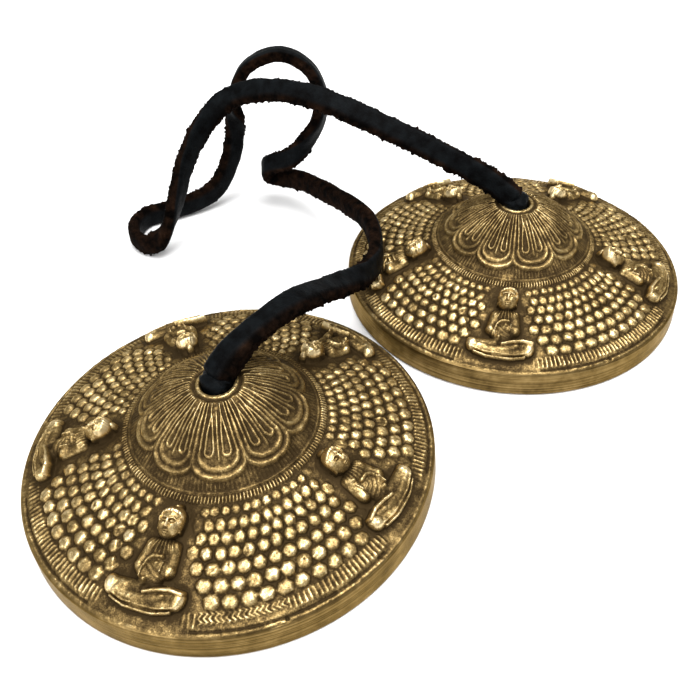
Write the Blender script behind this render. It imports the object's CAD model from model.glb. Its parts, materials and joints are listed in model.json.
"""Finger cymbals: two cast brass cymbals joined by a leather thong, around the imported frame.

Lengths in this file are millimetres and are turned into metres when a mesh is made. A cymbal's own
coordinates are a radius, a bearing about its axis, and a height along the outward normal of its
plain, unworked profile.
"""

import json
import math

import bpy
import numpy as np
from mathutils import Matrix, Vector

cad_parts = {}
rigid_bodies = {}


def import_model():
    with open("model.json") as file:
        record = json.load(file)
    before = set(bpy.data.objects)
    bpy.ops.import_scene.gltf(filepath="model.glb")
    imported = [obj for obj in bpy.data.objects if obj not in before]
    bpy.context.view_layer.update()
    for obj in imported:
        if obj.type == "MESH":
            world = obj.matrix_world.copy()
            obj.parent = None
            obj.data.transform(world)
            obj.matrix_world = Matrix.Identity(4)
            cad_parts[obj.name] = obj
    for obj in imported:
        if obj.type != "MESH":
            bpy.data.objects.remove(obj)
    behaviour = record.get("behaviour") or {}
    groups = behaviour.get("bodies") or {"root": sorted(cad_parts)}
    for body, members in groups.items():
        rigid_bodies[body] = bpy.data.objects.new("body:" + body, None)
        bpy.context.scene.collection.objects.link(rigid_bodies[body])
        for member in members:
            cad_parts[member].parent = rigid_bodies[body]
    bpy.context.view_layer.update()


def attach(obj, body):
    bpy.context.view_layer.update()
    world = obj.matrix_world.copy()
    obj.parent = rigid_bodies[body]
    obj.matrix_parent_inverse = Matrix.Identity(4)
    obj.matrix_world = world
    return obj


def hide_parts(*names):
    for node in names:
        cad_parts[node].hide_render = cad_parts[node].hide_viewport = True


for leftover in list(bpy.data.objects):
    bpy.data.objects.remove(leftover)

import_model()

MM = 0.001
TAU = 2 * math.pi

# ---- camera

CAMERA_PLACE = (-6.90, -99.19, 98.13)
CAMERA_PITCH = math.radians(43.91)
CAMERA_ROLL = math.radians(-3.05)
CAMERA_LENS = 37.19
SENSOR_WIDTH = 36.0


def add_camera():
    forward = Vector((0, math.cos(CAMERA_PITCH), -math.sin(CAMERA_PITCH)))
    level_up = Vector((0, math.sin(CAMERA_PITCH), math.cos(CAMERA_PITCH)))
    level_right = Vector((1, 0, 0))
    right = math.cos(CAMERA_ROLL) * level_right + math.sin(CAMERA_ROLL) * level_up
    up = math.cos(CAMERA_ROLL) * level_up - math.sin(CAMERA_ROLL) * level_right
    data = bpy.data.cameras.new("camera")
    data.lens = CAMERA_LENS
    data.sensor_width = SENSOR_WIDTH
    data.clip_start = 0.005
    data.clip_end = 20
    camera = bpy.data.objects.new("camera", data)
    bpy.context.collection.objects.link(camera)
    turn = Matrix((right, up, -forward)).transposed().to_4x4()
    camera.matrix_world = Matrix.Translation(Vector(CAMERA_PLACE) * MM) @ turn
    bpy.context.scene.camera = camera


# ---- light and floor

FLOOR_SIZE = 6.0
FLOOR_DROP = 0.0002
SKY_STRENGTH = 0.85
SKY_LOW = (0.35, 0.34, 0.33, 1)
SKY_HIGH = (1, 1, 1, 1)
SKY_HIGH_FROM = 0.8


def add_area(name, place, target, side, power):
    data = bpy.data.lights.new(name, "AREA")
    data.size = side
    data.energy = power
    lamp = bpy.data.objects.new(name, data)
    bpy.context.collection.objects.link(lamp)
    lamp.location = place
    lamp.rotation_euler = (Vector(target) - Vector(place)).to_track_quat("-Z", "Y").to_euler()


def add_surroundings():
    world = bpy.data.worlds.new("studio")
    bpy.context.scene.world = world
    world.use_nodes = True
    nodes, links = world.node_tree.nodes, world.node_tree.links
    background = nodes["Background"]
    background.inputs["Strength"].default_value = SKY_STRENGTH
    coords = nodes.new("ShaderNodeTexCoord")
    split = nodes.new("ShaderNodeSeparateXYZ")
    ramp = nodes.new("ShaderNodeValToRGB")
    low, high = ramp.color_ramp.elements
    low.position, low.color = 0.0, SKY_LOW
    high.position, high.color = SKY_HIGH_FROM, SKY_HIGH
    links.new(coords.outputs["Generated"], split.inputs[0])
    links.new(split.outputs["Z"], ramp.inputs[0])
    links.new(ramp.outputs["Color"], background.inputs["Color"])

    bpy.context.scene.view_settings.view_transform = "Standard"
    add_area("overhead_softbox", (0.10, -0.05, 0.80), (0, -0.02, 0), 0.6, 9.5)
    add_area("front_fill", (-0.5, -0.6, 0.55), (-0.03, -0.03, 0), 0.5, 4.5)

    half = FLOOR_SIZE / 2
    corners = [(-half, -half, 0), (half, -half, 0), (half, half, 0), (-half, half, 0)]
    mesh = bpy.data.meshes.new("floor")
    mesh.from_pydata(corners, [], [(0, 1, 2, 3)])
    floor = bpy.data.objects.new("floor", mesh)
    bpy.context.collection.objects.link(floor)
    floor.location.z = -FLOOR_DROP
    material = bpy.data.materials.new("white_paper")
    material.use_nodes = True
    shader = material.node_tree.nodes["Principled BSDF"]
    shader.inputs["Base Color"].default_value = (0.9, 0.9, 0.9, 1)
    shader.inputs["Roughness"].default_value = 0.7
    mesh.materials.append(material)


# ---- small tools

NOISE_CELLS = 128


def random_table(seed, *shape):
    return np.random.default_rng(seed).uniform(-1, 1, shape)


def value_noise(x, y, size, seed):
    """Smooth noise from -1 to 1 whose blobs are about size across."""
    table = random_table(seed, NOISE_CELLS, NOISE_CELLS)
    x, y = np.asarray(x) / size, np.asarray(y) / size
    left, low = np.floor(x).astype(int), np.floor(y).astype(int)
    across, along = x - left, y - low
    across, along = across * across * (3 - 2 * across), along * along * (3 - 2 * along)
    left, low = left % NOISE_CELLS, low % NOISE_CELLS
    right, high = (left + 1) % NOISE_CELLS, (low + 1) % NOISE_CELLS
    bottom = table[low, left] * (1 - across) + table[low, right] * across
    top = table[high, left] * (1 - across) + table[high, right] * across
    return bottom * (1 - along) + top * along


def blend_max(first, second, width):
    """The larger of two heights, with the crease between them rounded over width."""
    share = np.clip(0.5 + 0.5 * (first - second) / width, 0, 1)
    return second * (1 - share) + first * share + width * share * (1 - share)


def pile_up(base, *lumps):
    """Blends lumps onto base in turn. Each is a height map and the width of its rounded crease."""
    for heights, width in lumps:
        base = blend_max(base, heights, width)
    return base


def smooth_step(low, high, value):
    share = np.clip((value - low) / (high - low), 0, 1)
    return share * share * (3 - 2 * share)


def window(value, start, full, fading, end):
    """1 between full and fading, easing to 0 at start and at end."""
    return smooth_step(start, full, value) * smooth_step(end, fading, value)


def ripple(phase):
    """A cosine wave from 0 to 1."""
    return 0.5 + 0.5 * np.cos(phase)


def wrap(angle):
    return (angle + math.pi) % TAU - math.pi


def to_plane(radii, bearings):
    return radii * np.cos(bearings), radii * np.sin(bearings)


def set_down(x, y, centre, turn):
    """Turns places about the origin by turn, then moves them to stand about centre."""
    return (
        centre[0] + x * math.cos(turn) - y * math.sin(turn),
        centre[1] + x * math.sin(turn) + y * math.cos(turn),
    )


def nearest_on_line(x, y, line):
    """Distance from each point to a polyline."""
    best = np.full(np.shape(x), 1e9)
    for (x0, y0), (x1, y1) in zip(line, line[1:]):
        dx, dy = x1 - x0, y1 - y0
        length = math.hypot(dx, dy)
        if length < 1e-9:
            continue
        share = np.clip(((x - x0) * dx + (y - y0) * dy) / length**2, 0, 1)
        best = np.minimum(best, np.hypot(x - x0 - share * dx, y - y0 - share * dy))
    return best


def round_ridge(gap, half_width, height):
    """Height of a ridge with a round back, from the distance to its middle line."""
    share = np.clip(gap / half_width, 0, 1)
    return height * (1 - share**2) ** 1.2


def make_mesh(name, places, loops, starts, material):
    mesh = bpy.data.meshes.new(name)
    mesh.vertices.add(len(places))
    mesh.vertices.foreach_set("co", (np.asarray(places, np.float32) * MM).ravel())
    mesh.loops.add(len(loops))
    mesh.loops.foreach_set("vertex_index", np.asarray(loops, np.int32))
    mesh.polygons.add(len(starts))
    mesh.polygons.foreach_set("loop_start", np.asarray(starts, np.int32))
    mesh.update(calc_edges=True)
    mesh.validate()
    mesh.polygons.foreach_set("use_smooth", [True] * len(mesh.polygons))
    mesh.materials.append(material)
    piece = bpy.data.objects.new(name, mesh)
    bpy.context.collection.objects.link(piece)
    return piece


def add_attribute(piece, name, values):
    attribute = piece.data.attributes.new(name, "FLOAT", "POINT")
    attribute.data.foreach_set("value", np.asarray(values, np.float32))


# ---- materials

# Colour ramps, as (position, colour). The cast faces and the turned rim run from grime to bare
# metal, and the leather's two sides from their darkest to their lightest spots.
CAST_COLOURS = (
    (0.0, (0.034, 0.021, 0.008)),
    (0.26, (0.100, 0.065, 0.025)),
    (0.52, (0.220, 0.148, 0.057)),
    (0.78, (0.44, 0.320, 0.140)),
    (1.0, (0.74, 0.585, 0.32)),
)
RIM_COLOURS = (
    (0.26, (0.042, 0.026, 0.009)),
    (0.5, (0.132, 0.085, 0.029)),
    (0.75, (0.27, 0.184, 0.073)),
)
GRAIN_COLOURS = ((0.35, (0.0006, 0.0006, 0.0007)), (0.7, (0.0042, 0.0054, 0.0062)))
FLESH_COLOURS = (
    (0.4, (0.0009, 0.0005, 0.0003)),
    (0.62, (0.009, 0.0042, 0.0022)),
    (0.8, (0.024, 0.0115, 0.006)),
)


def grey(level):
    return (level, level, level)


class Look:
    """A material under construction, with one method for each kind of node it is made from."""

    def __init__(self, name):
        self.material = bpy.data.materials.new(name)
        self.material.use_nodes = True
        self.nodes, self.links = self.material.node_tree.nodes, self.material.node_tree.links
        self.shader = self.nodes["Principled BSDF"].inputs
        self.coords = self.nodes.new("ShaderNodeTexCoord").outputs["Object"]

    def feed(self, socket, value):
        """Sets a socket to a constant, or links another node's output to it."""
        if isinstance(value, (int, float, tuple)):
            socket.default_value = value
        else:
            self.links.new(value, socket)

    def set(self, name, value):
        self.feed(self.shader[name], value)

    def add(self, kind, inputs, **settings):
        node = self.nodes.new("ShaderNode" + kind)
        for name, value in settings.items():
            setattr(node, name, value)
        for socket, value in inputs.items():
            self.feed(node.inputs[socket], value)
        return node

    def attribute(self, name):
        return self.add("Attribute", {}, attribute_name=name).outputs["Fac"]

    def noise(self, vector, scale, detail, roughness=0.55):
        inputs = {"Vector": vector, "Scale": scale, "Detail": detail, "Roughness": roughness}
        return self.add("TexNoise", inputs).outputs["Fac"]

    def math(self, operation, *values):
        return self.add("Math", dict(enumerate(values)), operation=operation).outputs[0]

    def mix(self, factor, first, second):
        inputs = {"Factor": factor, "A": first, "B": second}
        return self.add("Mix", inputs, data_type="RGBA").outputs["Result"]

    def ramp(self, level, stops):
        node = self.add("ValToRGB", {0: level})
        elements = node.color_ramp.elements
        while len(elements) < len(stops):
            elements.new(0.5)
        for element, (position, colour) in zip(elements, stops):
            element.position = position
            element.color = (*colour, 1)
        return node.outputs["Color"]

    def bump(self, height, strength, distance):
        inputs = {"Height": height, "Strength": strength, "Distance": distance}
        self.set("Normal", self.add("Bump", inputs).outputs[0])


def brass_material():
    """Cast brass with brown patina in its recesses and rubbed high spots."""
    look = Look("worn_cast_brass")
    wear, grime, turned = (look.attribute(name) for name in ("wear", "grime", "turned"))
    mottle = look.noise(look.coords, 900, 4)
    speckle = look.noise(look.coords, 5200, 3)
    patches = look.noise(look.coords, 240, 3)
    level = look.math("MULTIPLY_ADD", mottle, 0.9, wear)
    level = look.math("MULTIPLY_ADD", speckle, 1.05, level)
    level = look.math("MULTIPLY_ADD", patches, 1.0, level)
    level = look.math("SUBTRACT", level, 1.51)
    level = look.math("MULTIPLY_ADD", grime, -0.35, level)

    # The rim band was turned on a lathe: fine lines run round it, through the same stains.
    stretched = look.add("Mapping", {"Vector": look.coords, "Scale": (25, 25, 5200)}).outputs[0]
    lathe = look.noise(stretched, 1.0, 4, 0.6)
    stain = look.math("MULTIPLY_ADD", patches, 0.7, lathe)
    stain = look.math("MULTIPLY_ADD", mottle, 0.25, stain)
    rim_colour = look.ramp(look.math("SUBTRACT", stain, 0.475), RIM_COLOURS)
    colour = look.mix(turned, look.ramp(level, CAST_COLOURS), rim_colour)
    look.set("Base Color", colour)
    look.set("Specular IOR Level", 0.2)
    look.set("Specular Tint", (0.80, 0.69, 0.52, 1))

    metal = look.ramp(level, ((0.05, grey(0.7)), (0.4, grey(1))))
    look.set("Metallic", look.math("MAXIMUM", metal, turned))
    rough = look.ramp(level, ((0.1, grey(0.62)), (0.6, grey(0.42)), (1.0, grey(0.30))))
    look.set("Roughness", look.mix(turned, rough, (*grey(0.34), 1)))

    cast = look.math("MULTIPLY_ADD", speckle, 0.5, mottle)
    grain = look.math("MULTIPLY", look.math("SUBTRACT", 1.0, turned), cast)
    groove = look.math("MULTIPLY", turned, lathe)
    look.bump(look.math("ADD", grain, groove), 0.6, 0.00014)
    return look.material


def leather_material():
    """Black dyed leather: smooth on its grain side, brown and napped on its flesh side."""
    look = Look("black_thong_leather")
    flesh = look.attribute("flesh")
    mottle = look.noise(look.coords, 420, 5)
    pores = look.noise(look.coords, 3600, 3)
    grain_colour, flesh_colour = look.ramp(mottle, GRAIN_COLOURS), look.ramp(mottle, FLESH_COLOURS)
    look.set("Base Color", look.mix(flesh, grain_colour, flesh_colour))
    look.set("Specular IOR Level", 0.03)
    rough = look.mix(flesh, (*grey(0.48), 1), (*grey(0.95), 1))
    look.set("Roughness", rough)
    look.bump(look.math("MULTIPLY_ADD", mottle, 2.0, pores), 0.5, 0.0002)
    return look.material


# ---- the leather thong

PIVOT_HEIGHT = 19.3
FRONT_CENTRE = (-27.44, -22.42)
BACK_CENTRE = (27.44, 22.42)
THONG_WIDTH = 4.45
THONG_THICKNESS = 2.9
THONG_SECTION_POINTS = 40
ROUTE_STEP = 0.5
ROUTE_PASSES = 16
GRAIN_SIDE_PASSES = 12
THONG_STEP = 0.24
HOLE_WIDTH = 4.6
HOLE_THICKNESS = 4.4
WIDTH_TAPER = 5.0
THICKNESS_TAPER = 9.0

# Each row is a point of the thong's middle line, then the direction its grain side faces there.
THONG_ROUTE = (
    (-27.44, -22.42, PIVOT_HEIGHT, 0, 0, 1),
    (-25.6, -20.2, 21.4, 0, 0, 1),
    (-22.5, -16.8, 22.8, 0, 0, 1),
    (-16, -8.5, 22, 0.1, -0.1, 1),
    (-7, 4, 15.8, 0.35, -0.3, 0.9),
    (-3, 10, 13.2, 0.8, -0.3, 0.5),
    (-1, 16, 11.8, 1, -0.1, 0.1),
    (-0.5, 22, 11.4, 1, 0, 0),
    (-1.5, 30, 11.2, 1, 0.2, 0),
    (-5, 38, 10, 0.85, 0.5, 0),
    (-17, 55.5, 7, 0.78, 0.62, 0),
    (-21.5, 58.8, 6, 0.5, 0.85, 0.1),
    (-24.8, 58.6, 7.8, -1, 0.2, 0),
    (-23.8, 56.8, 10.8, -0.8, -0.5, 0.2),
    (-18.5, 55, 13.2, -0.3, -0.9, 0.1),
    (-14.5, 55.5, 17, 0.3, -0.8, -0.4),
    (-11, 56, 22.5, 0.8, -0.4, -0.3),
    (-10.5, 58, 28, 1, -0.2, 0.1),
    (-13, 62.5, 31.5, 0.7, 0, 0.7),
    (-19.5, 66, 33.5, 0, 0.1, 1),
    (-27, 64, 31.5, -0.7, 0, 0.7),
    (-30, 61, 27, -1, 0, 0.1),
    (-31.5, 62.5, 17, 0.3, -0.9, 0),
    (-34, 61, 9.5, 0.7, -0.7, 0),
    (-38.5, 57.5, 4, 0.6, -0.8, 0),
    (-49, 52.4, 2.4, 0.45, -0.9, 0),
    (-54, 50.6, 2.3, 0.7, -0.6, 0),
    (-56, 46, 2.3, 1, -0.1, 0),
    (-54.8, 41, 2.3, 0.8, 0.4, 0),
    (-51, 38, 2.6, 0.5, 0.7, 0.1),
    (-47.5, 38.5, 5, 0.9, 0.2, -0.4),
    (-44, 42, 11.5, 0.85, -0.45, -0.2),
    (-41, 47, 18.5, 0.7, -0.7, 0),
    (-35.5, 50, 26, 0.35, -0.8, 0.45),
    (-30, 50.5, 30.5, 0.1, -0.72, 0.69),
    (-23, 48, 33, 0.08, -0.72, 0.69),
    (-13, 42.5, 34, 0.08, -0.72, 0.69),
    (7.5, 32, 28.5, 0, -0.8, 0.5),
    (23.5, 24.6, 22, -0.25, -0.95, 0.15),
    (27.44, 22.42, PIVOT_HEIGHT, -0.4, -0.85, 0.3),
)


def between(a, b, start, end, time):
    share = (time - start) / (end - start)
    return a * (1 - share) + b * share


def through_points(points, step):
    """Points about one step apart on the centripetal Catmull-Rom curve through points."""
    points = np.asarray(points, float)
    chain = np.vstack([2 * points[0] - points[1], points, 2 * points[-1] - points[-2]])
    curve = []
    for p0, p1, p2, p3 in zip(chain, chain[1:], chain[2:], chain[3:]):
        spans = [math.sqrt(np.linalg.norm((b - a)[:3])) for a, b in ((p0, p1), (p1, p2), (p2, p3))]
        t0, t1, t2, t3 = np.cumsum([0] + spans)
        count = max(2, round(np.linalg.norm((p2 - p1)[:3]) / step))
        for index in range(count):
            time = t1 + (t2 - t1) * index / count
            early = between(p0, p1, t0, t1, time)
            middle = between(p1, p2, t1, t2, time)
            late = between(p2, p3, t2, t3, time)
            first = between(early, middle, t0, t2, time)
            second = between(middle, late, t1, t3, time)
            curve.append(between(first, second, t1, t2, time))
    curve.append(points[-1])
    return np.array(curve)


def average_neighbours(curve, passes):
    for _ in range(passes):
        curve = np.vstack([curve[:1], (curve[:-2] + 2 * curve[1:-1] + curve[2:]) / 4, curve[-1:]])
    return curve


def line_stations(line):
    """How far along a line each of its points is."""
    return np.concatenate([[0], np.cumsum(np.linalg.norm(np.diff(line, axis=0), axis=1))])


def even_steps(curve, step):
    lengths = line_stations(curve[:, :3])
    stations = np.linspace(0, lengths[-1], round(lengths[-1] / step) + 1)
    return np.stack([np.interp(stations, lengths, column) for column in curve.T], axis=1), stations


def unit(vectors):
    return vectors / np.maximum(np.linalg.norm(vectors, axis=-1, keepdims=True), 1e-9)


def route_frames(line, grain_side):
    """Grain-side normal and width direction along a line."""
    tangent = unit(np.gradient(line, axis=0))
    normal = unit(grain_side - (grain_side * tangent).sum(1, keepdims=True) * tangent)
    return normal, np.cross(tangent, normal)


def strap_section(count):
    """A flat strap's outline, as across and out shares from -1 to 1, grain side first."""
    turn = TAU * (np.arange(count) + 0.5) / count
    across, out = np.cos(turn), np.sin(turn)
    power = np.where(out > 0, 5.0, 3.2)
    size = (np.abs(across) ** power + np.abs(out) ** power) ** (-1 / power)
    return across * size, out * size


def sweep_strap(name, line, grain_side, width, thickness, material, seed, dyed=0.0):
    """A closed strap along a line, napped on its flesh side and on its cut edges.

    Width and thickness are given for each point. With dyed set, the first stretch of about that
    length has no brown flesh side.
    """
    count = THONG_SECTION_POINTS
    across, out = strap_section(count)
    normal, side = route_frames(line, grain_side)
    stations = line_stations(line)
    reach = 0.45 * np.mean(thickness)
    share = np.clip(1 - np.minimum(stations, stations[-1] - stations) / reach, 0, 1)
    scale = np.sqrt(np.maximum(1 - share**2, 0.02))[:, None]
    along = stations[:, None] * np.ones((1, count))
    around = np.arange(count)[None, :] * np.ones((len(line), 1)) * (TAU * 1.8 / count)

    def noise(place, size, number):
        return value_noise(along, place, size, seed + number)

    half_width = width[:, None] / 2 * scale * (1 + 0.05 * noise(0 * along + 3, 3.1, 0))
    half_thick = thickness[:, None] / 2 * scale * (1 + 0.06 * noise(0 * along + 7, 4.3, 1))
    out = np.where(out > 0, out * (1 - 0.30 * smooth_step(0.50, 1.0, across)), out)
    x, y = across[None, :] * half_width, out[None, :] * half_thick
    edge_rag = smooth_step(0.72, 0.98, np.abs(across)) * smooth_step(0.85, 0.2, out)
    slant = smooth_step(0.50, 0.74, across)
    cut_edge = np.maximum(slant, smooth_step(0.86, 0.97, -across) * smooth_step(0.86, 0.60, out))
    flesh = np.maximum(smooth_step(0.45, -0.35, out), cut_edge)
    nap = noise(around, 0.35, 2) + 0.7 * noise(around + 50, 0.34, 3)
    spikes = np.maximum(noise(around + 9, 0.42, 4), 0) ** 2
    lift = scale * (flesh * 0.075 * nap + edge_rag * (0.62 * spikes + 0.12 * nap))
    lift = lift + scale * (0.05 * noise(around, 1.6, 5) + 0.012 * noise(around, 0.5, 6))
    outward = [x / np.maximum(half_width, 1e-6), y / np.maximum(half_thick, 1e-6)]
    outward = unit(np.stack(outward, -1))
    x, y = x + lift * outward[..., 0], y + lift * outward[..., 1]
    places = line[:, None, :] + x[..., None] * side[:, None, :] + y[..., None] * normal[:, None, :]
    places[..., 2] = np.maximum(places[..., 2], 0)

    index = np.arange(len(line) * count).reshape(len(line), count)
    following = np.roll(index, -1, axis=1)
    quads = np.stack([index[:-1], index[1:], following[1:], following[:-1]], -1).reshape(-1, 4)
    loops = np.concatenate([quads.ravel(), index[0], index[-1][::-1]])
    ends = [len(quads) * 4, len(quads) * 4 + count]
    starts = np.concatenate([np.arange(len(quads)) * 4, ends])
    piece = make_mesh(name, places.reshape(-1, 3), loops, starts, material)
    brown = np.clip(flesh + 0.3 * edge_rag, 0, 1) * np.ones((len(line), 1))
    if dyed:
        brown = brown * smooth_step(dyed - 1.5, dyed + 0.5, stations)[:, None]
    add_attribute(piece, "flesh", brown.ravel())
    return piece


def hole_taper(stations, reach, narrow, wide):
    """Width along the thong, changed towards both of its ends where a hole pinches it."""
    nearest_end = np.minimum(stations, stations[-1] - stations)
    return narrow + (wide - narrow) * smooth_step(0.5, reach, nearest_end)


def build_thong(material):
    curve = average_neighbours(through_points(THONG_ROUTE, ROUTE_STEP), ROUTE_PASSES)
    curve, stations = even_steps(curve, THONG_STEP)
    line = curve[:, :3]
    grain_side = average_neighbours(curve[:, 3:], GRAIN_SIDE_PASSES)
    width = hole_taper(stations, WIDTH_TAPER, HOLE_WIDTH, THONG_WIDTH)
    thickness = hole_taper(stations, THICKNESS_TAPER, HOLE_THICKNESS, THONG_THICKNESS)
    strap = sweep_strap("thong_strap", line, grain_side, width, thickness, material, 11)
    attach(strap, "thong")
    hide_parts("thong")
    return strap, line, stations[-1]


# ---- the knots under the cymbals

KNOT_CENTRE_DROP = 8.1
KNOT_SPREAD = 1.95
KNOT_STRAP_WIDTH = 3.0
KNOT_STRAP_THICKNESS = 2.2
KNOT_TAIL_DROP = 6.2
KNOT_STEPS_DEG = range(20, 452, 36)
KNOT_DYED_LENGTH = 7.0


def build_knot(which, centre, turn_deg, material, seed):
    """The thong's end: it drops through the bore, turns round itself and ends in a short tail."""
    turn = math.radians(turn_deg)
    waist = PIVOT_HEIGHT - KNOT_CENTRE_DROP
    local = [(0, 0, PIVOT_HEIGHT + 1.5), (0, 0, PIVOT_HEIGHT - 2.2), (0, 0, 15.0), (0.6, 0.3, 13.9)]
    for step_deg in KNOT_STEPS_DEG:
        angle = math.radians(step_deg)
        x, y = KNOT_SPREAD * math.cos(angle), KNOT_SPREAD * math.sin(angle)
        local.append((x, y, waist + 0.4 + 1.5 * math.cos(angle * 1.5)))
    local += [(0.3, -0.2, waist - 2.6), (0, 0, waist - 4.2), (0.3, 0.2, waist - KNOT_TAIL_DROP)]
    points = []
    for x, y, z in local:
        grain_x = math.cos(turn) * (1 if abs(x) < 0.1 else x)
        grain_y = math.sin(turn) + (0 if abs(y) < 0.1 else y)
        points.append((*set_down(x, y, centre, turn), z, grain_x, grain_y, 0.25))
    curve, stations = even_steps(average_neighbours(through_points(points, 0.25), 6), 0.2)
    line, grain_side = curve[:, :3], average_neighbours(curve[:, 3:], 8)
    in_bore = smooth_step(4.6, 2.8, stations)
    width = KNOT_STRAP_WIDTH + (HOLE_WIDTH - KNOT_STRAP_WIDTH) * in_bore
    thickness = KNOT_STRAP_THICKNESS + (HOLE_THICKNESS - KNOT_STRAP_THICKNESS) * in_bore
    name = f"{which}_knot_leather"
    dyed = KNOT_DYED_LENGTH
    knot = sweep_strap(name, line, grain_side, width, thickness, material, seed, dyed)
    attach(knot, f"{which}_knot")
    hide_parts(f"{which}_thong_knot")
    return knot


def build_leather():
    material = leather_material()
    strap, line, length = build_thong(material)
    knots = [
        build_knot("front", FRONT_CENTRE, 50, material, 31),
        build_knot("back", BACK_CENTRE, 155, material, 47),
    ]


# ---- the cymbals' plain shape

CROWN_EDGE = 2.75
FIELD_START = 15.1
RELIEF_EDGE = 33.3
# Each profile is a run of (radius, height) pairs.
UPPER_PROFILE = (
    (2.5, 18.78), (3.6, 18.76), (5.0, 18.36), (8.0, 16.86), (11.0, 14.62), (13.5, 12.42),
    (15.5, 10.9), (17.0, 10.2), (22.0, 8.6), (28.0, 6.7), (31.0, 5.6), (33.64, 4.66),
)
RIM_WALL = (
    (33.5, 4.70), (33.62, 4.60), (33.69, 4.44), (33.73, 4.2), (33.77, 3.4), (33.83, 2.6),
    (33.89, 1.8), (33.94, 1.0), (33.98, 0.4), (33.95, 0.16), (33.86, 0.03), (33.7, 0.0),
)
UNDERSIDE = (
    (32.6, 0.0), (31.2, 0.0), (30.7, 0.05), (30.52, 0.3), (30.42, 1.2), (30.32, 2.2),
    (30.0, 2.75), (29.0, 3.3), (27.5, 4.1), (25.0, 5.0), (22.0, 5.9), (18.5, 7.05),
    (15.0, 8.2), (13.9, 8.8), (12.8, 9.7), (11.6, 10.95), (10.4, 12.2), (9.0, 13.4),
    (7.6, 14.4), (6.2, 15.2), (5.2, 15.6), (4.4, 15.82), (3.4, 15.88), (2.75, 15.9),
    (2.56, 16.0),
)
BORE_WALL = ((2.5, 16.2), (2.5, 16.9), (2.5, 17.7), (2.5, 18.35), (2.55, 18.6), (2.62, 18.72))
BORE_COLUMNS = 180
DOME_COLUMNS = 720
FIELD_COLUMNS = 1440
UNDERSIDE_COLUMNS = 360
DOME_RINGS = 128
FIELD_RINGS = 128
PROFILE_SAMPLES = 1600
PROFILE_ROUNDING = 30


def upper_profile():
    """Height and outward slope of the plain upper face at any radius."""
    radii = np.linspace(UPPER_PROFILE[0][0], UPPER_PROFILE[-1][0], PROFILE_SAMPLES)
    heights = np.interp(radii, *zip(*UPPER_PROFILE))
    kernel = np.hanning(2 * PROFILE_ROUNDING + 1)
    kernel /= kernel.sum()
    padded = np.pad(heights, PROFILE_ROUNDING, mode="reflect", reflect_type="odd")
    heights = np.convolve(padded, kernel, mode="valid")
    return radii, heights, np.gradient(heights, radii)


PROFILE_RADII, PROFILE_HEIGHTS, PROFILE_SLOPES = upper_profile()


def even_radii(start, end, count):
    """Radii from start to end, evenly spaced along the profile's own line."""
    radii = np.linspace(start, end, 800)
    slopes = np.interp(radii, PROFILE_RADII, PROFILE_SLOPES)
    steps = np.sqrt(1 + slopes**2)
    lengths = np.concatenate([[0], np.cumsum((steps[1:] + steps[:-1]) / 2 * np.diff(radii))])
    return np.interp(np.linspace(0, lengths[-1], count + 1), lengths, radii)


def raised_places(radii, bearings, relief):
    heights = np.interp(radii, PROFILE_RADII, PROFILE_HEIGHTS)
    slopes = np.interp(radii, PROFILE_RADII, PROFILE_SLOPES)
    size = np.sqrt(1 + slopes**2)
    out = radii - relief * slopes / size
    return np.stack([*to_plane(out, bearings), heights + relief / size], -1)


# ---- the dome: a ten-petalled lotus

PETAL_EDGES_DEG = (8, 44, 80, 115, 150, 186, 220, 254, 292.5, 329)
PETAL_NOTCH = 11.5
PETAL_TIP = 13.4
PETAL_RIDGE = 0.34
PETAL_BODY = 0.10
PETAL_CURVE = 2.1
RIDGE_WIDENING = 1.16
COLLAR_RADIUS = 3.45
COLLAR_HEIGHT = 0.22
PETAL_ROOT = 4.2
FINE_RIB_COUNT = 192
HATCH_COUNT = 144


def arch(left, right, foot, top, sharpness, points=21):
    """A line from (left, foot) over (middle, top) to (right, foot), in petal shares and radii."""
    line = []
    for index in range(points):
        share = math.sin((-1 + 2 * index / (points - 1)) * math.pi / 2)
        across = (left + right) / 2 + (right - left) / 2 * share
        line.append((across, foot + (top - foot) * (1 - abs(share) ** sharpness) ** 0.5))
    return line


def hairpin(centre, half_width, foot, neck, top, sway):
    """A needle's eye: two legs from one root ridge, joined by a round end of 0.55 radius."""
    shoulder = top - 0.55
    left, right = [], []
    for index in range(9):
        share = index / 8
        spread = half_width * math.sin(share * math.pi / 2) ** 0.8
        radius = neck + (shoulder - neck) * share
        left.append((centre + sway * share - spread, radius))
        right.append((centre + sway * share + spread, radius))
    cap = arch(centre + sway - half_width, centre + sway + half_width, shoulder, top, 2.0, 9)
    return [[(centre, foot), (centre, neck)], left, right, cap]


def petal_lines():
    """The ridges of one petal, as lines of (share across, radius), half widths and heights."""
    inner = PETAL_NOTCH - 0.75
    lines = [
        (arch(0.0, 1.0, PETAL_NOTCH, PETAL_TIP, 2.1), 0.50, 1.0),
        (arch(0.11, 0.89, inner, PETAL_TIP - 0.98, 2.2), 0.42, 0.9),
        ([(0.0, PETAL_ROOT), (0.0, 8.0), (0.0, PETAL_NOTCH)], 0.36, 1.0),
        ([(1.0, PETAL_ROOT), (1.0, 8.0), (1.0, PETAL_NOTCH)], 0.36, 1.0),
        ([(0.14, PETAL_ROOT), (0.13, 7.0), (0.11, inner)], 0.27, 0.85),
        ([(0.86, PETAL_ROOT), (0.87, 7.0), (0.89, inner)], 0.27, 0.85),
        ([(0.5, PETAL_ROOT + 1.2), (0.5, 7.5), (0.5, 11.35)], 0.25, 0.75),
    ]
    for centre, sway in ((0.33, -0.02), (0.67, 0.02)):
        for line in hairpin(centre, 0.085, PETAL_ROOT, 5.9, 10.95, sway):
            lines.append((line, 0.24, 0.85))
    return lines


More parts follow.
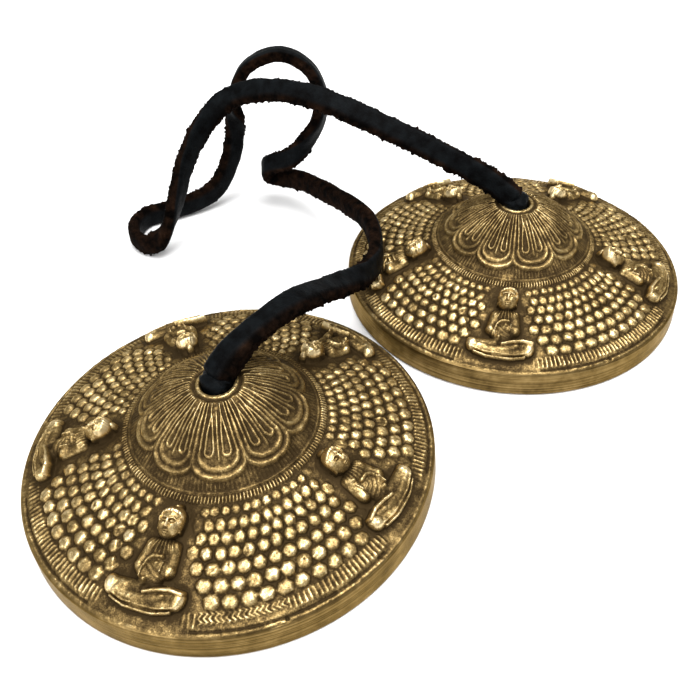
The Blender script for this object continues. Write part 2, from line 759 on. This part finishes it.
def thirds(line):
    """The same line with two more points on each stretch."""
    dense = []
    for (x0, y0), (x1, y1) in zip(line, line[1:]):
        dense += [(x0 + (x1 - x0) * k / 3, y0 + (y1 - y0) * k / 3) for k in range(3)]
    return dense + [line[-1]]


def dome_relief(radii, bearings):
    relief = np.zeros(radii.shape)
    edges = [math.radians(edge) for edge in PETAL_EDGES_DEG]
    lines = petal_lines()
    inside_petals = np.zeros(radii.shape, bool)
    for number, start in enumerate(edges):
        width = wrap(edges[(number + 1) % len(edges)] - start) % TAU
        offset = wrap(bearings - start - width / 2)
        near = (np.abs(offset) < width / 2 + 0.05) & (radii > COLLAR_RADIUS) & (radii < 14.6)
        r, off = radii[near], offset[near]
        narrow = np.clip(r / 9.0, 0.5, 1.0)
        found = np.zeros(r.shape)
        wobble = 0.012 * random_table(200 + number, len(lines))
        for (line, half_width, height), shift in zip(lines, wobble):
            path = []
            for across, radius in line:
                swayed = across + shift * (0 < across < 1)
                path.append(((swayed - 0.5) * width * radius, radius))
            gap = nearest_on_line(off * r, r, thirds(path))
            ridge = PETAL_RIDGE * height * (0.75 + 0.25 * narrow)
            rise = round_ridge(gap, RIDGE_WIDENING * half_width * narrow, ridge)
            found = np.maximum(found, rise)
        sideways = np.abs(2 * (off / width + 0.5) - 1)
        bow = np.sqrt(np.clip(1 - sideways**PETAL_CURVE, 0, 1))
        edge_radius = PETAL_NOTCH + (PETAL_TIP - PETAL_NOTCH) * bow
        within = r < edge_radius
        body = PETAL_BODY * np.clip(1 - sideways**2, 0, 1) + PETAL_BODY
        skirt = PETAL_BODY * np.clip(1 - (r - edge_radius) / 0.3, 0, 1)
        found = found + np.where(within, body, skirt)
        relief[near] = np.maximum(relief[near], found)
        inside_petals[near] |= within
    x, y = to_plane(radii, bearings)

    between_tips = window(radii, 12.0, 12.6, 14.6, 14.95) * ~inside_petals
    hatched = between_tips * ripple(HATCH_COUNT * bearings)
    relief = np.maximum(relief, hatched * (0.11 + 0.08 * value_noise(x, y, 1.7, 64)))
    relief = np.maximum(relief, round_ridge(np.abs(radii - 15.0), 0.22, 0.22))

    collar = smooth_step(COLLAR_RADIUS, COLLAR_RADIUS - 0.25, radii)
    groove = np.exp(-(((radii - COLLAR_RADIUS - 0.22) / 0.17) ** 2))
    relief = relief * (1 - collar) + collar * COLLAR_HEIGHT - 0.22 * groove
    relief += 0.040 * value_noise(x, y, 0.9, 61) + 0.035 * value_noise(x, y, 0.33, 62)
    wear = 1 - 0.35 * smooth_step(0.2, 0.8, value_noise(x, y, 5.0, 63))
    return relief * np.where(relief > 0, wear * 0.3 + 0.7, 1)


# ---- the brim: beads, ribs, figures

BEAD_ROWS = (17.35, 19.25, 21.1, 23.0, 25.05, 27.15, 29.2)
BEADS_PER_ROW = 72
BEAD_HEIGHT = 0.56
# How far a row's beads keep from a figure's middle line, by the row's radius.
BEAD_CLEARANCE = ((17, 2.6), (19, 3.3), (22, 3.4), (26, 4.0), (28, 6.6), (30, 7.4))
COARSE_RIB_COUNT = 256
FIGURE_BEARINGS_DEG = (252, 331, 45.5, 115, 183.2)
FIGURE_HEART = 24.4
FIGURE_STRETCH = 0.87
FIGURE_LEANS_DEG = (4, 0, 0, 0, 0)
FLAW_DEG = (266, 290)
# A casting pit in the outer ring.
PIT_RADIUS = 33.0
PIT_BEARING_DEG = 288


def bead_relief(radii, bearings):
    found = np.zeros(radii.shape)
    pitch = TAU / BEADS_PER_ROW
    for row, radius in enumerate(BEAD_ROWS):
        near = np.abs(radii - radius) < 1.5
        r, bearing = radii[near], bearings[near]
        dice = random_table(70 + row, 6, BEADS_PER_ROW)
        start = 0.5 * pitch * (row % 2)
        number = np.round((bearing - start) / pitch).astype(int) % BEADS_PER_ROW
        middle = start + number * pitch
        wider, longer, aside, outward, turned, taller = dice[:, number]
        size = min(1.0, 0.55 + 0.45 * (radius - 16.2) / 5.5)
        across_half = min(0.515 * pitch * radius, 1.26) * (1 + 0.07 * wider)
        along_half = (1.12 if row else 0.80) * (1 + 0.07 * longer)
        x = wrap(bearing - middle) * radius - 0.11 * aside
        y = (r - radius) * 1.05 - 0.10 * outward
        lean = 0.5 * turned
        x, y = x * np.cos(lean) - y * np.sin(lean), x * np.sin(lean) + y * np.cos(lean)
        x, y = x / across_half, y / along_half
        hexagon = np.maximum(np.abs(y), np.abs(x) * 0.866 + np.abs(y) * 0.5)
        gap = np.clip(0.45 * np.hypot(x, y) + 0.55 * hexagon, 0, 1)
        tall = BEAD_HEIGHT * size * (1 + 0.13 * taller)
        clear = np.interp(radius, *zip(*BEAD_CLEARANCE))
        for figure in FIGURE_BEARINGS_DEG:
            away = np.abs(wrap(middle - math.radians(figure))) * radius
            tall = tall * smooth_step(clear - 0.6, clear + 1.7, away)
        found[near] = np.maximum(found[near], tall * np.clip(1 - gap**3.0, 0, 1) ** 0.8)
    return found


def outer_ribs(radii, bearings, flawed):
    phase = COARSE_RIB_COUNT * bearings
    inner, outer = 30.2 + 0.12 * np.sin(9 * bearings), 32.4 + 0.10 * np.sin(7 * bearings + 1)
    if flawed:
        low, high = (math.radians(edge) for edge in FLAW_DEG)
        flaw = window(bearings % TAU, low, low + 0.02, high - 0.02, high)
        phase = phase + flaw * 2.4 * (1 - 2 * np.abs(((radii - 30.6) / 1.0) % 1 - 0.5) * 2)
        outer = outer - 0.45 * flaw
    x, y = to_plane(radii, bearings)
    strength = 0.22 + 0.08 * value_noise(x, y, 1.6, 81)
    ragged = 1.5 * value_noise(x, y, 1.3, 82)
    for figure in FIGURE_BEARINGS_DEG:
        away = np.abs(wrap(bearings - math.radians(figure))) * radii + ragged
        strength = strength * (0.15 + 0.85 * smooth_step(4.0, 8.0, away))
    band = window(radii, inner, inner + 0.35, outer - 0.35, outer)
    return band * strength * ripple(phase) ** 0.75


def inner_ribs(radii, bearings):
    lean = 1.1 + 0.5 * np.sin(3 * bearings)
    phase = FINE_RIB_COUNT * (bearings + lean * (radii - 15.8) * 0.004)
    return window(radii, 15.25, 15.5, 16.15, 16.5) * 0.26 * ripple(phase) ** 0.8


def dome_of(x, y, centre, half, top, power=2.0, root=0.5):
    """A rounded lump's height over its footprint, and a large negative number outside it."""
    away_x, away_y = np.abs((x - centre[0]) / half[0]), np.abs((y - centre[1]) / half[1])
    share = away_x**power + away_y**power
    return np.where(share < 1, top * (1 - np.clip(share, 0, 1)) ** root, -0.6 * (share - 1))


def limb(x, y, line, half_width, top):
    gap = nearest_on_line(x, y, line)
    share = np.clip(gap / half_width, 0, 1)
    return np.where(gap < half_width, top * np.sqrt(1 - share**2), -(gap - half_width))


def mirrored(line, side):
    """A line given for the positive side, on the side that is 1 or -1."""
    return [(side * across, up) for across, up in line]


HEAD_CENTRE = 4.15
HEAD_HALF = (1.85, 2.0)
HEAD_TOP = 3.0
FACE_DEPTH = 1.7
FIGURE_REACH = (7.8, 8.0)


def face_relief(x, y):
    """A calm, evenly proportioned face: eyes half way down the head, nose and mouth below them."""
    chin = HEAD_CENTRE - HEAD_HALF[1]
    tall = 2 * HEAD_HALF[1]
    eye_line, nose_base, mouth_line = chin + 0.50 * tall, chin + 0.31 * tall, chin + 0.20 * tall

    def mouth(half, ends, middle, half_width, height):
        ends, middle = mouth_line + ends, mouth_line + middle
        return limb(x, y, [(-half, ends), (0, middle), (half, ends)], half_width, height)

    nose = limb(x, y, [(0, eye_line + 0.10), (0, nose_base + 0.10)], 0.24, 0.26)
    nose = np.maximum(nose, dome_of(x, y, (0, nose_base + 0.12), (0.30, 0.22), 0.30))
    raised = [(1, nose)]
    for side in (-1, 1):
        brow = [(0.2, eye_line + 0.30), (0.6, eye_line + 0.40), (0.98, eye_line + 0.24)]
        cheek = (side * 0.72, nose_base + 0.05)
        raised += [
            (-1, dome_of(x, y, (side * 0.58, eye_line), (0.46, 0.30), 0.16)),
            (1, dome_of(x, y, (side * 0.56, eye_line - 0.02), (0.32, 0.17), 0.15)),
            (1, limb(x, y, mirrored(brow, side), 0.13, 0.09)),
            (1, dome_of(x, y, cheek, (0.55, 0.55), 0.08, 2.0, 1.0)),
        ]
    raised += [
        (1, mouth(0.36, 0.05, 0.09, 0.10, 0.10)),
        (1, mouth(0.26, -0.12, -0.15, 0.11, 0.11)),
        (1, dome_of(x, y, (0, chin + 0.30), (0.42, 0.30), 0.10, 2.0, 1.0)),
        (-1, mouth(0.42, -0.01, -0.03, 0.06, 0.07)),
    ]
    return sum(sign * np.maximum(part, 0) for sign, part in raised)


def head_relief(x, y):
    below = (HEAD_CENTRE - y) / HEAD_HALF[1]
    tilt = 1 - 0.10 * np.clip(below, -1, 1)
    jaw = 1 - 0.16 * np.clip(below, 0, 1) ** 2
    half_x = HEAD_HALF[0] * np.where(y < HEAD_CENTRE, jaw, 1)
    share = (np.abs(x) / half_x) ** 2.2 + (np.abs(y - HEAD_CENTRE) / HEAD_HALF[1]) ** 2.2
    dome = 1.0 + (HEAD_TOP - 1.0) * np.sqrt(np.clip(1 - share, 0, 1)) * tilt
    dome = dome + FACE_DEPTH * face_relief(x, y) * smooth_step(1.0, 0.75, share)
    hair_line = HEAD_CENTRE + 0.75 + 0.55 * (1 - (x / 1.3) ** 2) * 0.6
    hair = smooth_step(hair_line - 0.08, hair_line + 0.08, y)
    side_hair = smooth_step(1.25, 1.45, np.abs(x)) * smooth_step(HEAD_CENTRE - 0.3, HEAD_CENTRE, y)
    waves = 0.075 * np.cos((y + 0.22 * x**2) * 9) + 0.03 * np.cos(x * 14 + 2 * np.sin(y * 5))
    dome = dome + np.maximum(hair, side_hair) * (0.36 + waves)
    head = np.where(share < 1, dome, -0.6 * (share - 1))
    topknot = dome_of(x, y, (0, HEAD_CENTRE + HEAD_HALF[1] - 0.05), (0.72, 0.62), 2.0)
    head = blend_max(head, topknot, 0.12)
    for side in (-1, 1):
        ear = mirrored([(1.55, HEAD_CENTRE + 0.25), (1.62, HEAD_CENTRE - 0.95)], side)
        head = blend_max(head, limb(x, y, ear, 0.26, 1.55), 0.08)
    return head


def legs_relief(x, y, mirror):
    """Crossed legs on a folded hem. mirror is 1 or -1 and says which shin lies in front."""

    def fold(line, half_width, top):
        return limb(x, y, mirrored(line, mirror), half_width, top)

    legs = dome_of(x, y, (0, -4.5), (5.8, 1.4), 1.2, 2.8, 0.5)
    for side in (-1, 1):
        thigh = limb(x, y, mirrored([(1.0, -3.5), (4.7, -4.0)], side), 0.95, 1.4)
        knee = dome_of(x, y, (side * 5.0, -4.2), (1.15, 1.15), 1.7, 2.4)
        legs = blend_max(legs, blend_max(thigh, knee, 0.6), 0.4)
    back_shin = fold([(-5.2, -4.4), (-2.0, -4.9), (1.0, -5.0)], 0.9, 1.4)
    front_shin = fold([(5.2, -4.3), (1.0, -4.6), (-2.3, -4.2)], 0.95, 1.65)
    foot = dome_of(x, y, (-mirror * 2.7, -3.95), (1.05, 0.6), 1.8, 2.3)
    knee_hem = fold([(-5.5, -3.5), (-3.6, -3.15), (-1.6, -3.4), (-0.2, -3.8)], 0.42, 2.15)
    legs = pile_up(legs, (back_shin, 0.25), (front_shin, 0.2), (foot, 0.15), (knee_hem, 0.15))
    for half, low, top in ((5.0, -5.25, 1.5), (4.5, -5.8, 1.2)):
        bow = [(-half, 0.45), (-half * 0.5, 0.05), (half * 0.5, 0), (half, 0.35)]
        bow = [(across, low + up) for across, up in bow]
        legs = blend_max(legs, limb(x, y, bow, 0.26, top), 0.10)
    return legs


SHOULDER = (1.7, 1.35)
# Where each gesture has its elbow and its hand, for the arm on the positive side.
GESTURES = {
    "lap": ((2.2, -1.2), (0.55, -2.55)),
    "knee": ((2.5, -1.5), (3.7, -4.2)),
    "raised": ((2.35, -1.2), (1.5, 1.0)),
    "chest": ((2.2, -1.2), (0.4, -0.6)),
}
FIGURE_GESTURES = (
    ("chest", "lap"),
    ("raised", "lap"),
    ("knee", "lap"),
    ("lap", "lap"),
    ("chest", "chest"),
)


def arm_relief(x, y, side, gesture):
    shoulder, elbow, hand = mirrored((SHOULDER, *GESTURES[gesture]), side)
    upper_arm = limb(x, y, [shoulder, elbow], 1.0, 1.2)
    forearm = limb(x, y, [elbow, hand], 0.85, 1.5)
    palm = dome_of(x, y, hand, (0.62, 0.5), 1.95)
    middle = elbow[1] * 0.5 + hand[1] * 0.5
    cuff = [
        (elbow[0] * 0.5 + hand[0] * 0.5, middle + 0.5),
        (elbow[0] * 0.45 + hand[0] * 0.55, middle - 0.55),
    ]
    return pile_up(upper_arm, (forearm, 0.6), (limb(x, y, cuff, 0.2, 1.9), 0.1), (palm, 0.2))


PLEAT_SOURCE = 4.4
PLEAT_PITCH = 0.17
FOLD_PITCH = 0.6


def figure_relief(x, y, number):
    """One seated figure. x runs across it, y from its knees to its head."""
    mirror = 1 if number % 2 else -1
    plinth = dome_of(x, y, (0, -0.3), (3.6, 6.4), 0.30, 2.2, 0.8)
    trunk = dome_of(x, y, (0, -0.9), (2.1, 3.3), 1.45, 2.4, 0.5)
    shoulders = limb(x, y, [(-1.4, 1.25), (0, 1.55), (1.4, 1.25)], 1.1, 1.4)
    neck = limb(x, y, [(0, 1.9), (0, 2.8)], 0.8, 1.05)
    body = pile_up(trunk, (shoulders, 0.4), (neck, 0.25))

    # The dress: pleats that fan out from the neck, the robe's raised edge and folds over the waist.
    fan_out, fan_turn = np.hypot(x, y - PLEAT_SOURCE), np.arctan2(x, PLEAT_SOURCE - y)
    fan = window(fan_out, 1.9, 2.3, 3.7, 4.3) * smooth_step(1.0, 0.8, np.abs(fan_turn))
    edge = [(2.2, -2.6), (1.5, -1.5), (1.2, -0.4), (0.5, 0.15), (-0.8, 0.2)]
    waist = [(1.6, 0.2), (-0.6, -1.2), (-2.0, -1.6)]
    edge_gap = nearest_on_line(x, y, mirrored(edge, mirror))
    waist_gap = nearest_on_line(x, y, mirrored(waist, mirror))
    folds = ripple(waist_gap * TAU / FOLD_PITCH)
    folds = folds * smooth_step(-0.4, -0.9, y) * smooth_step(2.2, 1.2, waist_gap)
    pleats = ripple(fan_turn * TAU / PLEAT_PITCH)
    dress = 0.26 * pleats * fan + round_ridge(edge_gap, 0.38, 0.55) + 0.12 * folds
    body = body + np.where(body > 0.4, dress, 0)

    legs = legs_relief(x, y, mirror)
    figure = pile_up(np.maximum(plinth, 0), (body, 0.3), (legs, 0.25))
    for side, gesture in zip((-1, 1), FIGURE_GESTURES[number][::mirror]):
        figure = blend_max(figure, arm_relief(x, y, side, gesture), 0.6)
    return np.maximum(blend_max(figure, head_relief(x, y), 0.12), 0)


def brim_relief(radii, bearings, flawed):
    x, y = to_plane(radii, bearings)
    relief = bead_relief(radii, bearings)
    relief = np.maximum(relief, outer_ribs(radii, bearings, flawed))
    relief = np.maximum(relief, inner_ribs(radii, bearings))
    foot_ring = round_ridge(np.abs(radii - FIELD_START), 0.16, 0.20) * (radii < FIELD_START + 0.2)
    line = np.exp(-(((radii - 32.72) / 0.16) ** 2))
    lip = smooth_step(32.8, 33.1, radii)
    relief = relief + foot_ring - 0.20 * line + 0.10 * lip
    cast = 0.050 * value_noise(x, y, 1.1, 91) + 0.060 * value_noise(x, y, 0.42, 92)
    dents = np.clip(value_noise(x, y, 2.3, 93) - 0.86, 0, 1) * 2.5
    dents = dents + np.clip(value_noise(x, y, 0.7, 94) - 0.9, 0, 1) * 2.2
    relief = relief + cast - np.minimum(dents, 0.30)
    pit_x = wrap(bearings - math.radians(PIT_BEARING_DEG)) * PIT_RADIUS
    relief = relief - 0.5 * np.exp(-((radii - PIT_RADIUS) ** 2 + pit_x**2) / 0.06)
    for number, bearing in enumerate(FIGURE_BEARINGS_DEG):
        up = (FIGURE_HEART - radii) * FIGURE_STRETCH
        across = wrap(bearings - math.radians(bearing)) * radii
        across = across - up * math.tan(math.radians(FIGURE_LEANS_DEG[number]))
        near = (np.abs(across) < FIGURE_REACH[0]) & (np.abs(up) < FIGURE_REACH[1])
        figure = figure_relief(across[near], up[near], number)
        rough = 0.09 * value_noise(x[near], y[near], 1.0, 96)
        rough = rough + 0.05 * value_noise(x[near], y[near], 0.38, 97)
        figure = figure + rough * smooth_step(0.2, 0.9, figure)
        relief[near] = blend_max(relief[near], figure, 0.10)
    return relief


# ---- cymbal meshes

WEAR_SPREAD = 0.34
GRIME_SPREAD = 1.3
FINEST = 4
# Cells that are divided more finely: half their patch's width across a figure, the patch's lowest
# and highest place up the figure, and how many parts a cell there has each way.
FINE_PATCHES = ((6.9, -6.9, 7.0, 2), (1.95, 1.9, 6.9, 4))


def blur_on_rings(relief, radii, spread):
    """Averages a ring-by-column height map over about spread millimetres each way."""
    columns = relief.shape[1]
    waves = np.fft.rfftfreq(columns, 1 / columns)
    soft = np.exp(-0.5 * (waves[None, :] * spread / radii[:, None]) ** 2)
    smooth = np.fft.irfft(np.fft.rfft(relief, axis=1) * soft, columns, axis=1)
    step = (radii[-1] - radii[0]) / (len(radii) - 1)
    reach = max(1, int(3 * spread / step))
    kernel = np.exp(-0.5 * (np.arange(-reach, reach + 1) * step / spread) ** 2)
    kernel /= kernel.sum()
    padded = np.pad(smooth, ((reach, reach), (0, 0)), mode="edge")
    return sum(weight * padded[shift : shift + len(radii)] for shift, weight in enumerate(kernel))


def look_up(grid, ring, column):
    """Bilinear values of a ring-by-column map at fractional ring and column numbers."""
    columns = grid.shape[1]
    low, left = np.floor(ring).astype(int), np.floor(column).astype(int)
    low = np.clip(low, 0, grid.shape[0] - 2)
    up, across = ring - low, column - left
    left, right = left % columns, (left + 1) % columns
    below = grid[low, left] * (1 - across) + grid[low, right] * across
    above = grid[low + 1, left] * (1 - across) + grid[low + 1, right] * across
    return below * (1 - up) + above * up


def cell_levels(radii, columns):
    """How many parts each cell of the brim is divided into each way: 1, 2 or 4."""
    middles = (radii[1:] + radii[:-1]) / 2
    up = ((FIGURE_HEART - middles) * FIGURE_STRETCH)[:, None]
    bearings = (np.arange(columns) + 0.5) * TAU / columns
    levels = np.ones((len(middles), columns), int)
    for bearing in FIGURE_BEARINGS_DEG:
        across = np.abs(wrap(bearings - math.radians(bearing)))[None, :] * middles[:, None]
        for half, low, high, level in FINE_PATCHES:
            levels[(across < half) & (up > low) & (up < high)] = level
    levels[0] = levels[-1] = 1
    return levels


def divided_cells(levels):
    """Polygons over a ring-by-column lattice whose cells are divided as levels says.

    They are given by lattice keys: an array of quads, then a list of the polygons with extra
    corners, which lie in cells that meet a finer one.
    """
    rings, columns = levels.shape
    wide = columns * FINEST
    beside = [np.vstack([levels[:1], levels[:-1]]), np.vstack([levels[1:], levels[-1:]])]
    beside += [np.roll(levels, 1, 1), np.roll(levels, -1, 1)]
    finest_beside = np.maximum.reduce(beside)
    quads = []
    for level in (1, 2, 4):
        step = FINEST // level
        ring, column = np.nonzero((levels == level) & (finest_beside <= level))
        for a, b in np.ndindex(level, level):
            low, left = ring * FINEST + a * step, column * FINEST + b * step
            right = (left + step) % wide
            corners = ((low, left), (low + step, left), (low + step, right), (low, right))
            quads.append(np.stack([i * wide + j for i, j in corners], -1))
    polygons = []
    for ring, column in zip(*np.nonzero(finest_beside > levels)):
        level = levels[ring, column]
        step = FINEST // level
        across_side = {
            "left": levels[ring, (column - 1) % columns],
            "right": levels[ring, (column + 1) % columns],
            "low": levels[max(ring - 1, 0), column],
            "high": levels[min(ring + 1, rings - 1), column],
        }
        for a, b in np.ndindex(level, level):
            low, left = ring * FINEST + a * step, column * FINEST + b * step
            at = {"left": b == 0, "high": a == level - 1, "right": b == level - 1, "low": a == 0}
            runs = {}
            for side, finer in across_side.items():
                runs[side] = range(0, step, FINEST // max(level, finer) if at[side] else step)
            corners = [(low + k, left) for k in runs["left"]]
            corners += [(low + step, left + k) for k in runs["high"]]
            corners += [(low + step - k, left + step) for k in runs["right"]]
            corners += [(low, left + step - k) for k in runs["low"]]
            polygons.append([i * wide + j % wide for i, j in corners])
    return np.concatenate(quads), polygons


class Skin:
    """A casting's closed skin in the making: its points, what they carry, and its polygons."""

    def __init__(self):
        self.places, self.carried, self.loops, self.sizes = [], [], [], []
        self.total = 0

    def add_points(self, places, *carried):
        """Adds points with their wear, grime and turned shares, and returns the first's number."""
        first = self.total
        self.places.append(places)
        shape = (len(places),)
        self.carried.append([np.broadcast_to(np.asarray(c, float), shape) for c in carried])
        self.total += len(places)
        return first

    def add_polygons(self, index):
        self.loops.append(index.reshape(-1))
        self.sizes.append(np.full(len(index), index.shape[1]))

    def join_rings(self, inner, outer):
        """Polygons between two rings, given as index arrays in bearing order, inner first."""
        if len(inner) == len(outer):
            corners = [inner, outer, np.roll(outer, -1), np.roll(inner, -1)]
        elif len(outer) > len(inner):
            many = len(outer) // len(inner)
            fan = [np.roll(outer, -k)[::many] for k in range(many + 1)]
            corners = [inner] + fan + [np.roll(inner, -1)]
        else:
            many = len(inner) // len(outer)
            fan = [np.roll(inner, -k)[::many] for k in range(many, -1, -1)]
            corners = [outer, np.roll(outer, -1)] + fan
        self.add_polygons(np.stack(corners, -1))

    def add_plain_rings(self, profile, columns, *carried):
        """Turns a profile about the axis, and returns its first and its last ring."""
        bearings = np.arange(columns) * TAU / columns
        rings = []
        for radius, height in profile:
            ring = np.stack([*to_plane(radius, bearings), np.full(columns, height)], -1)
            rings.append(self.add_points(ring, *carried) + np.arange(columns))
        for inner, outer in zip(rings, rings[1:]):
            self.join_rings(inner, outer)
        return rings[0], rings[-1]


def add_dome(skin):
    """The lotus dome. Returns its inner and its outer ring."""
    radii = even_radii(CROWN_EDGE, FIELD_START, DOME_RINGS)
    bearings = np.arange(DOME_COLUMNS) * TAU / DOME_COLUMNS
    r, b = np.meshgrid(radii, bearings, indexing="ij")
    relief = dome_relief(r, b)
    soft, wide = (blur_on_rings(relief, radii, spread) for spread in (WEAR_SPREAD, GRIME_SPREAD))
    collar = smooth_step(COLLAR_RADIUS + 0.05, COLLAR_RADIUS - 0.1, r)
    wear = 0.29 + (relief - soft) / (0.33 + 0.14 * smooth_step(6, 12, r)) + 0.30 * collar
    grime = 0.25 * smooth_step(13.2, 14.6, r) + (wide - soft) / 0.5
    places = raised_places(r, b, relief).reshape(-1, 3)
    first = skin.add_points(places, wear.ravel(), grime.ravel(), 0.0)
    index = first + np.arange(r.size).reshape(r.shape)
    for inner, outer in zip(index, index[1:]):
        skin.join_rings(inner, outer)
    return index[0], index[-1]


def add_brim(skin, flawed):
    """The worked brim, finer under its figures. Returns its inner and its outer ring."""
    radii = even_radii(FIELD_START + 0.09, RELIEF_EDGE, FIELD_RINGS)
    bearings = np.arange(FIELD_COLUMNS) * TAU / FIELD_COLUMNS
    coarse = brim_relief(*np.meshgrid(radii, bearings, indexing="ij"), flawed)
    soft, wide = (blur_on_rings(coarse, radii, spread) for spread in (WEAR_SPREAD, GRIME_SPREAD))
    quads, polygons = divided_cells(cell_levels(radii, FIELD_COLUMNS))
    used, where = np.unique(np.concatenate([quads.ravel(), *polygons]), return_inverse=True)
    lattice = FIELD_COLUMNS * FINEST
    ring, column = used // lattice / FINEST, used % lattice / FINEST
    r = np.interp(ring, np.arange(FIELD_RINGS + 1), radii)
    b = column * TAU / FIELD_COLUMNS
    relief = brim_relief(r, b, flawed)
    soft, wide = look_up(soft, ring, column), look_up(wide, ring, column)
    on_figure, on_top = smooth_step(0.7, 1.0, relief), smooth_step(1.5, 2.5, relief)
    lip = smooth_step(32.9, 33.2, r)
    wear = 0.43 + (relief - soft) / (0.32 + 0.36 * on_figure) - 0.17 * on_figure - 0.38 * on_top
    grime = (wide - soft) / 0.45 + 0.35 * smooth_step(19.0, 16.5, r)
    places = raised_places(r, b, relief)
    first = skin.add_points(places, wear - 0.05 * lip, grime, 0.35 * lip)
    skin.add_polygons(first + where[: quads.size].reshape(-1, 4))
    skin.loops.append(first + where[quads.size :])
    skin.sizes.append(np.array([len(polygon) for polygon in polygons]))
    edge_keys = np.arange(FIELD_COLUMNS) * FINEST
    inner = first + np.searchsorted(used, edge_keys)
    return inner, first + np.searchsorted(used, edge_keys + FIELD_RINGS * FINEST * lattice)


def build_casting(which, centre, turn_deg, flawed, material):
    """One cymbal as a single closed skin: bore, dome, brim, turned rim and hollow underside."""
    skin = Skin()
    dome_inner, dome_outer = add_dome(skin)
    brim_inner, brim_outer = add_brim(skin, flawed)
    bore_start, bore_end = skin.add_plain_rings(BORE_WALL, BORE_COLUMNS, 0.4, 0.6, 0.5)
    wall_start, wall_end = skin.add_plain_rings(RIM_WALL, DOME_COLUMNS, 0.6, 0.0, 1.0)
    under_start, under_end = skin.add_plain_rings(UNDERSIDE, UNDERSIDE_COLUMNS, 0.45, 0.3, 0.9)
    skin.join_rings(bore_end, dome_inner)
    skin.join_rings(dome_outer, brim_inner)
    skin.join_rings(brim_outer, wall_start)
    skin.join_rings(wall_end, under_start)
    skin.join_rings(under_end, bore_start)

    x, y, z = np.concatenate(skin.places).T
    places = np.stack([*set_down(x, y, centre, math.radians(turn_deg)), z], -1)
    starts = np.concatenate([[0], np.cumsum(np.concatenate(skin.sizes))[:-1]])
    loops = np.concatenate(skin.loops)
    piece = make_mesh(f"{which}_cymbal_casting", places, loops, starts, material)
    for name, parts in zip(("wear", "grime", "turned"), zip(*skin.carried)):
        add_attribute(piece, name, np.concatenate(parts))
    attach(piece, f"{which}_cymbal")
    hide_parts(f"{which}_cymbal")
    return piece


def build_cymbals():
    material = brass_material()
    build_casting("front", FRONT_CENTRE, 0, True, material)
    build_casting("back", BACK_CENTRE, 4, False, material)


# ---- the whole scene

add_camera()
add_surroundings()
build_leather()
build_cymbals()
